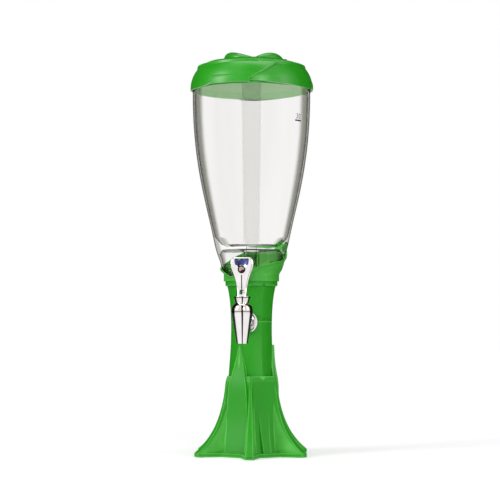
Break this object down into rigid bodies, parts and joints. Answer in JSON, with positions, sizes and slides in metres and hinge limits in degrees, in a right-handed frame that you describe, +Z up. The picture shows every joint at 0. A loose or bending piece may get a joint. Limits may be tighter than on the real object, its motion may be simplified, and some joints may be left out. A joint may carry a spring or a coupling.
{
  "type": "beer tower dispenser",
  "caption": "Tall free-standing drink tower: clear tapered vessel with an ice tube and lift-off leaf lid, on a finned foot, with a chrome lever tap.",
  "frame": {"origin": "on the floor at the centre of the foot's pads", "axes": "+Z up along the tower's axis; the tap faces -Y"},
  "size_m": [0.1846, 0.185, 0.6009],
  "materials": {
    "green_plastic": "satin moulded plastic",
    "clear_plastic": "clear moulded plastic",
    "chrome": "polished chrome plate",
    "steel": "plain steel",
    "rubber": "black rubber",
    "hose_silicone": "translucent silicone",
    "white_plastic": "white moulded plastic"
  },
  "bodies": {
    "tower": {"foot": "green_plastic", "lower_stem": "green_plastic", "leaf_cup": "green_plastic", "vessel": "clear_plastic", "tap_body": "chrome", "tap_bonnet": "chrome", "tap_collar": "chrome", "tap_flange": "chrome", "stem_screws": "steel", "hose_clips": "steel", "tap_spring": "steel", "shank_nut": "steel", "foot_pads": "rubber", "vessel_gasket": "rubber", "elbow_seal": "rubber", "rear_washer": "rubber", "front_washer": "rubber", "drain_hose": "hose_silicone", "vessel_nut": "white_plastic", "tap_elbow": "white_plastic"},
    "lid": {"lid": "green_plastic", "lid_seal": "rubber", "ice_tube": "clear_plastic", "ice_tube_seal": "rubber"},
    "valve": {"valve_stem": "steel", "seat_cup": "rubber", "lever_pin": "steel"},
    "lever": {"tap_lever": "chrome"}
  },
  "joints": [
    {"name": "lid_lift", "type": "slide", "parent": "tower", "child": "lid", "axis": [0, 0, 1], "range_m": [0, 0.26]},
    {"name": "valve_lift", "type": "slide", "parent": "tower", "child": "valve", "axis": [0, 0, 1], "range_m": [0, 0.0039], "deforming": ["tap_spring"]},
    {"name": "lever_pull", "type": "hinge", "parent": "valve", "child": "lever", "pos_m": [0, -0.06, 0.2402], "axis": [1, 0, 0], "range_deg": [0, 30], "stiffness_Nm_per_rad": 0.6, "springref_deg": -20.05}
  ],
  "couplings": [
    {"joint": "valve_lift", "follows": "lever_pull", "m_per_rad": 0.00726}
  ]
}
